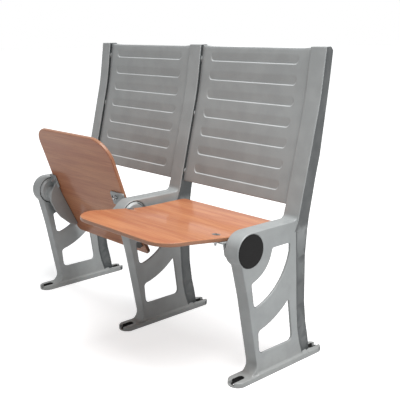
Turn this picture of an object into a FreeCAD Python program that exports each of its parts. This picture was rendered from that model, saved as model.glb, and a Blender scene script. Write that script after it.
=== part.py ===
import FreeCAD, Part
import Sketcher
import math
import os

# A row of two tip-up seats on three cast stanchions.
# X runs along the row, Y runs from the front of the seat to its back, Z is up.
# The origin is on the floor, in the middle of the middle stanchion's foot.
# Every side outline is drawn from the hub axis: y from the axis, z from the floor.
# On a seat, both y and z are taken from the hub axis, with the seat lowered.

SIZES = (
    ("seat_pitch", 550, "from one stanchion to the next"),
    ("hub_height", 411, "hub axis above the floor"),
    ("hub_setback", 140, "hub axis in front of the middle of the foot"),
    ("hub_radius", 54, "outside of the hub barrel"),
    ("hub_bore", 50, "radius of the recess in the hub"),
    ("hub_half", 23, "right face of the hub, and half the width of the legs"),
    ("web_thickness", 12, "wall inside the hub that carries the shaft"),
    ("side_plate", 8, "plate of the casting, flush with the hub on its right"),
    ("flange", 8, "thickness of the leg and arm strips"),
    ("arm_width", 54, "top of the arm rail"),
    ("arm_depth", 63, "arm rail, top to underside"),
    ("post_width", 60, "front face of the back post"),
    ("end_post_side", 21, "free side of the left post from its middle"),
    ("rear_width", 22, "narrow rear face of the post and rear leg"),
    ("post_top", 974, "top of the post above the floor"),
    ("foot_half", 200, "half the length of the foot"),
    ("foot_width", 60, "width of the foot"),
    ("foot_thickness", 16, "foot at its edges"),
    ("foot_ridge", 6, "rise of the foot towards the web"),
    ("slot_width", 20, "floor bolt slot in the casting"),
    ("slot_length", 46, "floor bolt slot in the casting"),
    ("slot_rim", 7, "metal left at the end of the slot"),
    ("slot_sill", 5, "height of that metal"),
    ("liner_wall", 2.5, "rubber liner of the floor bolt slot"),
    ("panel_gap", 1.5, "between post and backrest"),
    ("panel_setback", 9, "backrest behind the face of the post"),
    ("panel_sheet", 2.5, "aluminium sheet of the backrest"),
    ("panel_bottom", 503, "lower edge of the backrest"),
    ("panel_drop", 3, "backrest below the top of the post"),
    ("panel_return", 22, "depth of the folded sides"),
    ("groove_count", 7, "pressed grooves in each backrest"),
    ("groove_pitch", 63.5, "from one groove to the next"),
    ("groove_first", 553, "height of the lowest groove"),
    ("groove_length", 396, "pressed groove, end to end"),
    ("groove_height", 22, "pressed groove"),
    ("groove_depth", 5, "pressed groove"),
    ("lug_radius", 10, "cast lug that carries the backrest"),
    ("screw_radius", 3, "backrest screw"),
    ("screw_depth", 14, "backrest screw in its lug"),
    ("screw_head", 3, "height of a backrest screw's head"),
    ("board_thickness", 13, "plywood of the seat"),
    ("board_front", 264, "front edge ahead of the hub axis"),
    ("board_rear", 208, "rear edge behind the hub axis"),
    ("board_side", 11, "side of the board from the face of the bracket boss"),
    ("board_flat", 30, "top of the flat rear part above the hub axis"),
    ("board_lift", 26, "rise of the front edge over the flat part"),
    ("board_front_round", 80, "front corners of the board"),
    ("board_rear_round", 18, "rear corners of the board"),
    ("boss_gap", 2, "between bracket boss and hub recess"),
    ("boss_face", 30, "inner face of the boss from the stanchion"),
    ("arm_face", 63, "inner face of the bracket arm from the stanchion"),
    ("arm_plate", 7, "thickness of the bracket arm"),
    ("left_tab_reach", 71, "end of the left bracket's tab from its stanchion"),
    ("right_tab_reach", 112, "end of the right bracket's tab from its stanchion"),
    ("left_tab_inner", 28, "start of the left bracket's tab from its stanchion"),
    ("right_tab_inner", 33, "start of the right bracket's tab from its stanchion"),
    ("tab_plate", 6, "thickness of the bracket tab"),
    ("spare_slot", 7, "width of the unused slot in the right tab"),
    ("bolt_radius", 4, "seat bolt"),
    ("bolt_head", 13, "radius of the flat bolt head"),
    ("left_bolt", 57, "bolt of the left bracket from its stanchion"),
    ("right_bolt", 80, "bolt of the right bracket from its stanchion"),
    ("bolt_line", 41, "bolts ahead of the hub axis"),
    ("bolt_crown", 2.4, "height of the bolt head"),
    ("bolt_socket", 3.2, "radius of the socket in the bolt head"),
    ("bolt_end", 14, "bolt below the bracket tab"),
    ("nut_corner", 7.4, "seat nut, middle to corner"),
    ("nut_height", 6.5, "seat nut"),
    ("shaft_radius", 15, "pivot shaft"),
    ("shaft_fit", 0.05, "running fit between shaft and bush"),
    ("stud_radius", 10, "shank of the pivot shaft in the web"),
    ("stud_end", 18, "threaded end of an outer shaft from the stanchion"),
    ("sleeve_floor", 1.5, "closed end of the middle sleeve"),
    ("washer_thickness", 2, "shaft washer"),
    ("end_nut_corner", 17, "shaft nut, middle to corner"),
    ("end_nut_height", 8, "shaft nut"),
    ("bush_wall", 3, "pivot bush"),
    ("pivot_depth", 22, "end of the shaft from the stanchion"),
    ("face_gap", 2, "between bracket boss and web"),
    ("tip_angle", 64, "travel of the seat in degrees"),
    ("stop_circle", 34, "stop pins from the hub axis"),
    ("stop_pin", 4, "radius of a stop pin"),
    ("stop_sleeve", 7, "radius of its rubber sleeve"),
    ("stop_gap", 0.4, "sleeve to slot"),
    ("stop_depth", 12, "slot in the boss"),
    ("stop_start", 58, "angle of the stop pins above the rear horizontal"),
    ("seal_width", 8, "rubber seal in the hub recess"),
    ("seal_setback", 3, "seal inside the right face of the hub, and as far out on its left"),
    ("seal_gap", 0.5, "seal to bracket boss"),
    ("cap_thickness", 3, "hub cap"),
    ("cap_skirt", 10, "hub cap inside the recess"),
    ("fit_gap", 0.1, "pushed-in pieces"),
)

doc = FreeCAD.newDocument("stadium_seat")
sheet = doc.addObject("Spreadsheet::Sheet", "dim")
for row, (alias, number, note) in enumerate(SIZES, 1):
    sheet.set("A%d" % row, note)
    sheet.set("B%d" % row, str(number))
    sheet.setAlias("B%d" % row, alias)
doc.recompute()

nodes = []


def size(alias):
    return float(getattr(sheet, alias))


def value(formula):
    return float(sheet.evalExpression(formula))


def vec(a, b, c=0.0):
    return FreeCAD.Vector(a, b, c)


# Outlines

def corner_arc(before, corner, after, radius):
    """Tangent arc that rounds one corner: its start, middle and end."""
    to_before = (before - corner).normalize()
    to_after = (after - corner).normalize()
    half = to_before.getAngle(to_after) / 2
    reach = radius / math.tan(half)
    start = corner + to_before * reach
    end = corner + to_after * reach
    inward = (to_before + to_after).normalize()
    middle = corner + inward * (radius / math.sin(half) - radius)
    return start, middle, end


def outline(corners):
    """Closed outline of (across, up, radius) corners as lines and tangent arcs."""
    points = [vec(a, b) for a, b, radius in corners]
    count = len(points)
    curves = []
    ends = []
    for i, (a, b, radius) in enumerate(corners):
        if radius:
            start, middle, end = corner_arc(points[i - 1], points[i], points[(i + 1) % count], radius)
            ends.append((start, end))
            curves.append(Part.Arc(start, middle, end))
        else:
            ends.append((points[i], points[i]))
    for i in range(count):
        leave = ends[i][1]
        reach = ends[(i + 1) % count][0]
        if leave.distanceToPoint(reach) > 1e-6:
            curves.append(Part.LineSegment(leave, reach))
    return curves


def new_body(name):
    return doc.addObject("PartDesign::Body", name)


def new_sketch(body, role, curves, offset=None):
    """Sketch on one of the body's own origin planes, raised by a formula."""
    drawn = body.newObject("Sketcher::SketchObject", body.Name + "_sketch")
    plane = next(f for f in body.Origin.OriginFeatures if f.Role == role)
    drawn.AttachmentSupport = [(plane, "")]
    drawn.MapMode = "FlatFace"
    if offset:
        drawn.setExpression("AttachmentOffset.Base.z", offset)
    for curve in curves:
        drawn.addGeometry(curve, False)
    return drawn


def circles(centres, radius):
    return [Part.Circle(vec(a, b), vec(0, 0, 1), radius) for a, b in centres]


def stadium(across, up, width, length, upright=False):
    """Slot outline about a centre, its long side along the first or the second axis."""
    half = length / 2 - width / 2
    side = vec(0, width / 2)
    reach = vec(half, 0)
    tip = vec(length / 2, 0)
    if upright:
        side, reach, tip = vec(-width / 2, 0), vec(0, half), vec(0, length / 2)
    middle = vec(across, up)
    return [Part.LineSegment(middle - reach + side, middle + reach + side),
            Part.Arc(middle + reach + side, middle + tip, middle + reach - side),
            Part.LineSegment(middle + reach - side, middle - reach - side),
            Part.Arc(middle - reach - side, middle - tip, middle - reach + side)]


def bound_sketch(body, role, corners):
    """Straight-sided sketch whose corners are each held by two formulas."""
    points = [vec(value(a), value(b)) for a, b in corners]
    count = len(points)
    sides = [Part.LineSegment(points[i], points[(i + 1) % count]) for i in range(count)]
    drawn = new_sketch(body, role, sides)
    for i in range(count):
        drawn.addConstraint(Sketcher.Constraint("Coincident", i, 2, (i + 1) % count, 1))
    for i, formulas in enumerate(corners):
        for kind, axis, formula in (("DistanceX", -2, formulas[0]), ("DistanceY", -1, formulas[1])):
            number = value(formula)
            if number == 0:
                drawn.addConstraint(Sketcher.Constraint("PointOnObject", i, 1, axis))
                continue
            index = drawn.addConstraint(Sketcher.Constraint(kind, -1, 1, i, 1, number))
            drawn.setExpression("Constraints[%d]" % index, formula)
    return drawn


def pad(body, drawn, length, reverse=False, symmetric=False):
    feature = body.newObject("PartDesign::Pad", body.Name + "_pad")
    feature.Profile = drawn
    feature.setExpression("Length", length)
    feature.Reversed = reverse
    feature.Midplane = symmetric
    body.Tip = feature
    return feature


def pocket(body, drawn, length, symmetric=True, reverse=False):
    feature = body.newObject("PartDesign::Pocket", body.Name + "_pocket")
    feature.Profile = drawn
    feature.setExpression("Length", length)
    feature.Midplane = symmetric
    feature.Reversed = reverse
    body.Tip = feature
    return feature


def turned(name, profile, upright=False):
    """Piece turned about X from (along, radius) corners, or about Z from (radius, up) corners."""
    body = new_body(name)
    drawn = bound_sketch(body, "XZ_Plane" if upright else "XY_Plane", profile)
    feature = body.newObject("PartDesign::Revolution", name + "_turn")
    feature.Profile = drawn
    feature.ReferenceAxis = (drawn, ["V_Axis" if upright else "H_Axis"])
    feature.Angle = 360
    body.Tip = feature
    return body


TURNED_ROUND = FreeCAD.Placement(vec(0, 0), FreeCAD.Rotation(vec(0, 0, 1), 180))
NEAR = "(dim.face_gap + dim.web_thickness/2)"


def place(piece, across, back, up):
    """Bind a piece's place to formulas."""
    for letter, formula in (("x", across), ("y", back), ("z", up)):
        piece.setExpression("Placement.Base." + letter, formula)


def node(name, piece):
    piece.Label = name
    nodes.append((name, piece))
    return piece


def group(name, pieces):
    """Like pieces that share one node, each its own solid."""
    gathered = doc.addObject("Part::Compound", name)
    gathered.Links = pieces
    return node(name, gathered)


STANCHIONS = (("left", "-dim.seat_pitch"), ("middle", "0"), ("right", "dim.seat_pitch"))
BAYS = (("left", "-dim.seat_pitch/2"), ("right", "dim.seat_pitch/2"))

hub_height = size("hub_height")
hub_radius = size("hub_radius")
arm_top = hub_height + hub_radius
arm_bottom = arm_top - size("arm_depth")
post_top = size("post_top")
foot_top = size("foot_thickness")
flange = size("flange")

# Side lines of the casting, from the hub axis. Points are y, z and, where a line bends, its radius.
POST_FOOT = 193.0
POST_LEAN = math.tan(math.radians(13.9))
TOP_LEAN = math.tan(math.radians(8.2))
KNEE = 822.0
KNEE_REACH = 35.0
KNEE_ROUND = 700.0
SINK = 6.0
LEG_TOP_ANGLE = math.radians(226)
leg_top = (hub_radius * math.cos(LEG_TOP_ANGLE), hub_height + hub_radius * math.sin(LEG_TOP_ANGLE))
LEG_FRONT = ((-13.0, 270.0, 600.0), (33.8, foot_top, 30.0))
FLARE_TIP = -10.0
PLATE_REAR = ((SINK, 243.0), (40.0, 231.0), (67.0, 222.0), (115.0, 212.0), (187.0, 206.0), (255.0, 203.0),
              (343.0, 199.0), (433.0, 195.0))
SPINE_REAR = ((SINK, 285.0), (40.0, 282.0), (67.0, 277.0), (115.0, 266.0), (187.0, 257.0), (255.0, 256.0),
              (343.0, 255.0), (433.0, 263.5), (465.0, 269.0), (579.0, 294.0), (650.0, 312.0), (735.0, 326.0),
              (KNEE, 340.0), (886.0, 350.0), (962.0, 360.0))
POST_START = 425.0
TOP_ROUND = 12.0
ARM_ROUND = 18.0
FACE_OVERLAP = 12.0
CREASE = ((-18.0, 0.0), (-5.0, 1.2), (5.0, 4.0))
REAR_WALL = 8.0


def post_front(z):
    """Front face of the post above the arm, bent smoothly at the knee."""
    knee_y = POST_FOOT + (KNEE - arm_top) * POST_LEAN
    if z <= KNEE - KNEE_REACH:
        return POST_FOOT + (z - arm_top) * POST_LEAN
    if z >= KNEE + KNEE_REACH:
        return knee_y + (z - KNEE) * TOP_LEAN
    into = z - (KNEE - KNEE_REACH)
    return POST_FOOT + (z - arm_top) * POST_LEAN + (TOP_LEAN - POST_LEAN) * into ** 2 / (4 * KNEE_REACH)


def along(line, z):
    """y of a line of (z, y) points at a height."""
    for (z0, y0), (z1, y1) in zip(line, line[1:]):
        if z <= z1:
            return y0 + (y1 - y0) * (z - z0) / (z1 - z0)
    return line[-1][1] + (z - line[-1][0]) * TOP_LEAN


def leg_front():
    return [(leg_top[0], leg_top[1], 0)] + list(LEG_FRONT)


def plate_outline():
    """Side plate with the arm, from the front leg to the spine."""
    base = [(FLARE_TIP, foot_top, 0), (FLARE_TIP, SINK, 0)]
    rear = [(y, z, 0) for z, y in PLATE_REAR] + [(POST_FOOT, arm_top, 0)]
    return outline(leg_front() + base + rear + [(0, arm_top, 0), (0, hub_height, 0)])


def leg_strip():
    base = [(FLARE_TIP, foot_top, 0), (FLARE_TIP, SINK, 0), (LEG_FRONT[1][0] + flange, SINK, 0)]
    back = [(LEG_FRONT[0][0] + flange, LEG_FRONT[0][1], LEG_FRONT[0][2]),
            (leg_top[0] + flange, leg_top[1], 0)]
    return outline(leg_front() + base + back)


def arm_strip():
    """Top of the arm, rounded up into the face of the post."""
    rise = arm_top + ARM_ROUND + FACE_OVERLAP
    face = [(0, arm_top, 0), (POST_FOOT, arm_top, ARM_ROUND), (post_front(rise), rise, 0)]
    back = [(post_front(rise) + flange, rise, 0), (POST_FOOT + flange, arm_top - flange, 0)]
    return outline(face + back + [(0, arm_top - flange, 0)])


def leg_section(z):
    """Level section of the rear leg: the end of the side plate, bent round into a rear wall."""
    half = size("hub_half")
    plate = size("side_plate")
    rear = size("rear_width") / 2
    crease = along(PLATE_REAR, z)
    end = along(SPINE_REAR, z)
    outer = [(half - drawn_in, crease + back) for back, drawn_in in CREASE] + [(rear, end), (-half, end - 2)]
    inner = [(-half, end - 2 - REAR_WALL), (rear - plate, end - REAR_WALL - 4), (rear, crease + 14),
             (half - plate, crease), (half - plate, crease + CREASE[0][0])]
    points = [vec(x, y, z) for x, y in outer + inner]
    return Part.makePolygon(points + points[:1])


def post_section(z, left_side):
    """Level section of the post: a flat face and sides that draw in to a narrow rear."""
    rear = size("rear_width") / 2
    right_side = size("post_width") / 2
    if z < arm_top:
        left_side = right_side = size("hub_half")
    front = post_front(z)
    right = [(right_side, front), (right_side, front + 2), (right_side - 1.5, front + 4)]
    left = [(4 - left_side, front + 14), (1.5 - left_side, front + 4), (-left_side, front + 2), (-left_side, front)]
    rear_y = along(SPINE_REAR, z) - (TOP_ROUND if z == post_top else 0)
    middle = [(right_side - 4, front + 14), (rear, rear_y), (-rear, rear_y)]
    points = [vec(x, y, z) for x, y in right + middle + left]
    return Part.makePolygon(points + points[:1])


def ruled(name, sections):
    shapes = []
    for number, section in enumerate(sections):
        level = doc.addObject("Part::Feature", "%s_level_%d" % (name, number))
        level.Shape = section
        shapes.append(level)
    run = doc.addObject("Part::Loft", name)
    run.Sections = shapes
    run.Solid = True
    run.Ruled = True
    return run


def spine(name, left_side):
    """Rear leg up to the arm, and the post from there to the top."""
    leg = ruled(name + "_rear_leg", [leg_section(z) for z, y in PLATE_REAR])
    heights = [POST_START, arm_top, 520.0, 579.0, 650.0, 735.0, KNEE - KNEE_REACH, KNEE - KNEE_REACH / 2, KNEE,
               KNEE + KNEE_REACH / 2, KNEE + KNEE_REACH, 886.0, post_top - TOP_ROUND, post_top]
    return leg, ruled(name + "_post", [post_section(z, left_side) for z in heights])


ARC_CENTRE = (-17.5, hub_height + 7.8)
INNER_ARC = 108.6
OUTER_ARC = 190.6
LOWER_ARC = 268.6
OPENING_REAR = 168.0
UPPER_FRONT = (3.0, 15.0)
LOWER_FRONT = (33.0, 39.0)
LOWER_BASE = 82.0
LOWER_REAR = 187.0


def on_circle(radius, y=None, z=None):
    """Point on a circle about the arc centre, below it, from its y or its z."""
    if y is None:
        return ARC_CENTRE[0] + math.sqrt(radius ** 2 - (ARC_CENTRE[1] - z) ** 2), z
    return y, ARC_CENTRE[1] - math.sqrt(radius ** 2 - (y - ARC_CENTRE[0]) ** 2)


def arc_between(radius, start, end):
    """Arc about the arc centre between two points on it."""
    a = math.atan2(start[1] - ARC_CENTRE[1], start[0] - ARC_CENTRE[0])
    b = math.atan2(end[1] - ARC_CENTRE[1], end[0] - ARC_CENTRE[0])
    m = (a + b) / 2
    middle = vec(ARC_CENTRE[0] + radius * math.cos(m), ARC_CENTRE[1] + radius * math.sin(m))
    return Part.Arc(vec(*start), middle, vec(*end))


def upper_opening():
    """Curves and corner roundings of the opening under the arm."""
    a = (OPENING_REAR, arm_bottom)
    b = on_circle(INNER_ARC, z=arm_bottom)
    c = on_circle(INNER_ARC, y=UPPER_FRONT[0])
    d = on_circle(OUTER_ARC, y=UPPER_FRONT[1])
    e = on_circle(OUTER_ARC, y=OPENING_REAR)
    curves = [Part.LineSegment(vec(*a), vec(*b)), arc_between(INNER_ARC, b, c),
              Part.LineSegment(vec(*c), vec(*d)), arc_between(OUTER_ARC, d, e),
              Part.LineSegment(vec(*e), vec(*a))]
    return curves, ((a, 8), (b, 7), (c, 8), (d, 15), (e, 22))


def lower_opening():
    """Curves and corner roundings of the opening above the foot."""
    a = on_circle(LOWER_ARC, y=LOWER_FRONT[0])
    b = on_circle(LOWER_ARC, y=OPENING_REAR)
    c = (LOWER_REAR, LOWER_BASE)
    d = (LOWER_FRONT[1], LOWER_BASE)
    curves = [arc_between(LOWER_ARC, a, b), Part.LineSegment(vec(*b), vec(*c)),
              Part.LineSegment(vec(*c), vec(*d)), Part.LineSegment(vec(*d), vec(*a))]
    return curves, ((a, 12), (b, 5), (c, 15), (d, 18))


def cross_edges(shape, points):
    """Names of the edges that run along X through the given side points."""
    names = []
    for number, edge in enumerate(shape.Edges, 1):
        if len(edge.Vertexes) != 2:
            continue
        first, last = edge.Vertexes[0].Point, edge.Vertexes[1].Point
        for y, z in points:
            start_miss = math.hypot(first.y - y, first.z - z)
            end_miss = math.hypot(last.y - y, last.z - z)
            if start_miss < 0.01 and end_miss < 0.01:
                names.append("Edge%d" % number)
    return names


def round_edges(body, names, radius):
    base = body.Tip
    rounded = body.newObject("PartDesign::Fillet", body.Name + "_fillet")
    rounded.Base = (base, names)
    rounded.Radius = radius
    body.Tip = rounded
    rounded.recompute()
    return rounded


LUG_HEIGHTS = (535.0, 735.0, 925.0)
RIDGE_FRONT = 30.0
RIDGE_REAR = 262.0


def lug_place(z):
    """Middle of a backrest lug, inside the post."""
    return post_front(z) + size("panel_setback") + size("panel_return") / 2 + 1.5


def slot_centres():
    """Middle of each floor bolt slot along the foot."""
    reach = size("foot_half") - size("slot_rim") - size("slot_length") / 2
    return size("hub_setback") - reach, size("hub_setback") + reach


def notch(body, tip, step):
    """Opening through the end of the foot, above its sill."""
    half = size("slot_width") / 2
    inner = tip + step * (size("slot_rim") + half)
    outer = tip - step * SINK
    corners = outline([(-half, outer, 0), (half, outer, 0), (half, inner, 0), (-half, inner, 0)])
    pocket(body, new_sketch(body, "XY_Plane", corners, "dim.slot_sill"), "dim.foot_thickness",
           symmetric=False, reverse=True)


def foot(body):
    front = size("hub_setback") - size("foot_half")
    rear = size("hub_setback") + size("foot_half")
    middle = (front + rear) / 2
    plan = stadium(0, middle, size("foot_width"), rear - front, upright=True)
    pad(body, new_sketch(body, "XY_Plane", plan), "dim.foot_thickness")
    half = size("foot_width") / 2
    leg = size("hub_half")
    ridge = outline([(-half, foot_top - 1, 0), (half, foot_top - 1, 0), (half, foot_top, 0),
                     (leg, foot_top + size("foot_ridge"), 0), (-leg, foot_top + size("foot_ridge"), 0),
                     (-half, foot_top, 0)])
    drawn = new_sketch(body, "XZ_Plane", ridge, "-%g" % RIDGE_REAR)
    pad(body, drawn, "%g" % (RIDGE_REAR - RIDGE_FRONT))
    notch(body, front, 1)
    notch(body, rear, -1)


def stop_place():
    """Stop pin from the hub axis, as y and z."""
    angle = math.radians(size("stop_start"))
    return size("stop_circle") * math.cos(angle), size("stop_circle") * math.sin(angle)


def hub(body):
    """Barrel, the recess on each side of the web, and the holes in the web."""
    half = size("hub_half")
    left = size("arm_width") - half
    barrel = outline([(-left, 0, 0), (-left, hub_radius, 3), (half, hub_radius, 3), (half, 0, 0)])
    drawn = new_sketch(body, "XY_Plane", barrel, "dim.hub_height")
    feature = body.newObject("PartDesign::Revolution", "barrel")
    feature.Profile = drawn
    feature.ReferenceAxis = (drawn, ["H_Axis"])
    body.Tip = feature
    web = size("web_thickness") / 2
    bore = size("hub_bore")
    stud = size("stud_radius")
    reach = left + 2
    cut = outline([(-reach, 0, 0), (-reach, bore, 0), (-web, bore, 0), (-web, stud, 0),
                   (web, stud, 0), (web, bore, 0), (reach, bore, 0), (reach, 0, 0)])
    drawn = new_sketch(body, "XY_Plane", cut, "dim.hub_height")
    feature = body.newObject("PartDesign::Groove", "recess")
    feature.Profile = drawn
    feature.ReferenceAxis = (drawn, ["H_Axis"])
    body.Tip = feature
    y, z = stop_place()
    holes = circles([(y, hub_height + z)], size("stop_pin"))
    pocket(body, new_sketch(body, "YZ_Plane", holes), "dim.web_thickness*2")


def lugs(name, side):
    """Bosses on the post that the backrest is screwed to, with blind threaded holes."""
    body = new_body("%s_lugs_%s" % (name, "right" if side > 0 else "left"))
    places = [(lug_place(z), z) for z in LUG_HEIGHTS]
    reach = "dim.post_width/2 + dim.panel_gap"
    drawn = new_sketch(body, "YZ_Plane", circles(places, size("lug_radius")))
    pad(body, drawn, reach, reverse=side < 0)
    return body


def slot_holes(name):
    """The two floor bolt slots, as solids to be cut away."""
    body = new_body(name + "_slot_holes")
    slots = []
    for centre in slot_centres():
        slots += stadium(0, centre, size("slot_width"), size("slot_length"), upright=True)
    pad(body, new_sketch(body, "XY_Plane", slots), "dim.foot_thickness*3", symmetric=True)
    return body


def lug_holes(name, side):
    face = "dim.post_width/2 + dim.panel_gap"
    body = new_body("%s_lug_holes_%s" % (name, "right" if side > 0 else "left"))
    places = [(lug_place(z), z) for z in LUG_HEIGHTS]
    drawn = new_sketch(body, "YZ_Plane", circles(places, size("screw_radius")),
                       ("" if side > 0 else "-") + "(" + face + ")")
    pad(body, drawn, "dim.screw_depth", reverse=side > 0)
    return body


def stanchion(name, lug_sides):
    body = new_body("stanchion_%s_plate" % name)
    inner = "dim.hub_half - dim.side_plate"
    pad(body, new_sketch(body, "YZ_Plane", plate_outline(), inner), "dim.side_plate")
    for opening in (upper_opening, lower_opening):
        curves, roundings = opening()
        pocket(body, new_sketch(body, "YZ_Plane", curves), "dim.arm_width*2")
        doc.recompute()
        for point, radius in roundings:
            round_edges(body, cross_edges(body.Tip.Shape, [point]), radius)
    pad(body, new_sketch(body, "YZ_Plane", leg_strip()), "dim.hub_half*2", symmetric=True)
    pad(body, new_sketch(body, "YZ_Plane", arm_strip(), "dim.hub_half"), "dim.arm_width", reverse=True)
    foot(body)
    hub(body)
    whole = doc.addObject("Part::MultiFuse", "stanchion_%s_whole" % name)
    left_side = size("end_post_side") if name == "left" else size("post_width") / 2
    run = spine("stanchion_" + name, left_side)
    whole.Shapes = [body] + list(run) + [lugs(name, side) for side in lug_sides]
    holes = doc.addObject("Part::Compound", "stanchion_%s_holes" % name)
    holes.Links = [slot_holes(name)] + [lug_holes(name, side) for side in lug_sides]
    return cut("stanchion_" + name, whole, holes)


def face_path(step):
    """Front of the backrest, moved back by a step, from its lower to its upper edge."""
    top = post_top - size("panel_drop")
    low = size("panel_bottom")
    return [(post_front(low) + step, low, 0), (post_front(KNEE) + step, KNEE, KNEE_ROUND),
            (post_front(top) + step, top, 0)]


def groove_frame(z, depth):
    """Middle of a groove's plane and its lean, for a sketch on the XZ plane."""
    lean = math.atan(POST_LEAN if z < KNEE else TOP_LEAN)
    y = post_front(z) + size("panel_setback")
    back = y + depth * math.cos(lean)
    up = z - depth * math.sin(lean)
    return FreeCAD.Placement(vec(0, up, -back), FreeCAD.Rotation(vec(1, 0), -math.degrees(lean)))


def backrest(name):
    body = new_body("backrest_" + name)
    setback = size("panel_setback")
    sheet_metal = size("panel_sheet")
    fold = size("panel_return")
    width = "dim.seat_pitch - dim.post_width - 2*dim.panel_gap"
    tray = outline(face_path(setback) + face_path(setback + fold)[::-1])
    pad(body, new_sketch(body, "YZ_Plane", tray), width, symmetric=True)
    inside = [(y, z, bend) for y, z, bend in face_path(setback + sheet_metal)]
    outside = [(y, z, bend) for y, z, bend in face_path(setback + fold + 5)[::-1]]
    low_in, low_out = inside[0], outside[2]
    top_in, top_out = inside[2], outside[0]
    rows = [(low_in[0], low_in[1] + sheet_metal, 0), inside[1], (top_in[0], top_in[1] - sheet_metal, 0),
            (top_out[0], top_out[1] - sheet_metal, 0), outside[1], (low_out[0], low_out[1] + sheet_metal, 0)]
    pocket(body, new_sketch(body, "YZ_Plane", outline(rows)), width + " - 2*dim.panel_sheet")
    depth = size("groove_depth")
    for number in range(int(size("groove_count"))):
        z = size("groove_first") + number * size("groove_pitch")
        grown = stadium(0, 0, size("groove_height") + 2 * sheet_metal, size("groove_length") + 2 * sheet_metal)
        drawn = new_sketch(body, "XZ_Plane", grown)
        drawn.AttachmentOffset = groove_frame(z, 1)
        pad(body, drawn, "dim.groove_depth + dim.panel_sheet - 1", reverse=True)
        drawn = new_sketch(body, "XZ_Plane", stadium(0, 0, size("groove_height"), size("groove_length")))
        drawn.AttachmentOffset = groove_frame(z, -depth)
        pocket(body, drawn, "dim.groove_depth*2", symmetric=False)
    places = [(lug_place(z), z) for z in LUG_HEIGHTS]
    holes = circles(places, size("screw_radius") + 0.3)
    pocket(body, new_sketch(body, "YZ_Plane", holes), "dim.seat_pitch")
    return body


# Seats, drawn lowered about the hub axis in the middle of their bay

BOARD_WIDTH = "(dim.seat_pitch - 2*(dim.boss_face + dim.board_side))"

RAMP_REAR = 15.0
RAMP_FRONT = -190.0
RAMP_ROUND = 400.0
LIP_RISE = 1.5


def board_face(drop):
    """Upper face of the board from front to rear, moved down by a drop."""
    flat = size("board_flat") - drop
    lift = size("board_lift")
    return [(-size("board_front"), flat + lift + LIP_RISE, 0), (RAMP_FRONT, flat + lift, RAMP_ROUND),
            (RAMP_REAR, flat, RAMP_ROUND), (size("board_rear"), flat, 0)]


def ramp_slope():
    return math.atan(size("board_lift") / (RAMP_REAR - RAMP_FRONT))


def board_raw(name):
    body = new_body(name)
    profile = outline(board_face(0) + board_face(size("board_thickness"))[::-1])
    pad(body, new_sketch(body, "YZ_Plane", profile), BOARD_WIDTH, symmetric=True)
    doc.recompute()
    for y, radius in ((-size("board_front"), size("board_front_round")),
                      (size("board_rear"), size("board_rear_round"))):
        names = []
        for number, edge in enumerate(body.Tip.Shape.Edges, 1):
            box = edge.BoundBox
            at_side = abs(abs(box.XMin) - value(BOARD_WIDTH) / 2) < 0.01
            if at_side and box.XLength < 0.01 and abs(box.YMin - y) < 0.01 and box.YLength < 0.01:
                names.append("Edge%d" % number)
        round_edges(body, names, radius)
    return body


def bolt_frame(side, rise=0.0):
    """Place of a seat bolt on the sloping face of the board."""
    y = -size("bolt_line")
    z = size("board_flat") + (RAMP_REAR - y) * math.tan(ramp_slope())
    reach = size("left_bolt" if side > 0 else "right_bolt")
    turn = FreeCAD.Rotation(vec(1, 0), -math.degrees(ramp_slope()))
    across = side * (reach - size("seat_pitch") / 2)
    return FreeCAD.Placement(vec(across, y, z) + turn.multVec(vec(0, 0, rise)), turn)


def bolt_holes(name):
    """Rods that bore the holes of the seat bolts."""
    rods = []
    for side in (1, -1):
        made = doc.addObject("Part::Cylinder", "%s_rod_%d" % (name, side))
        made.setExpression("Radius", "dim.bolt_radius + 3*dim.fit_gap")
        made.setExpression("Height", "4*(dim.board_thickness + dim.tab_plate)")
        made.Placement = bolt_frame(side, -value("3*(dim.board_thickness + dim.tab_plate)"))
        rods.append(made)
    gathered = doc.addObject("Part::Compound", name + "_rods")
    gathered.Links = rods
    return gathered


def cut(name, base, tool):
    result = doc.addObject("Part::Cut", name)
    result.Base = base
    result.Tool = tool
    return result


ARM_OUTLINE = ((-31, 10, 0), (-33, 60, 0), (171, 60, 0), (171, 2, 5), (150, -14, 30), (103, -35, 60),
               (72, -41.5, 30), (20, -42, 20))
ARM_CORNER = {"left": ((-10, -20, 20),), "right": ((-24, -34, 14),)}
NECK = (12.0, -8.0, 27.0)
RIM = 7.0
TAB_FRONT = -62.0
TAB_REAR = -10.0
TAB_ROOT = 14.0
SPARE_SLOT = (104.0, -36.0, 18.0)


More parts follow.
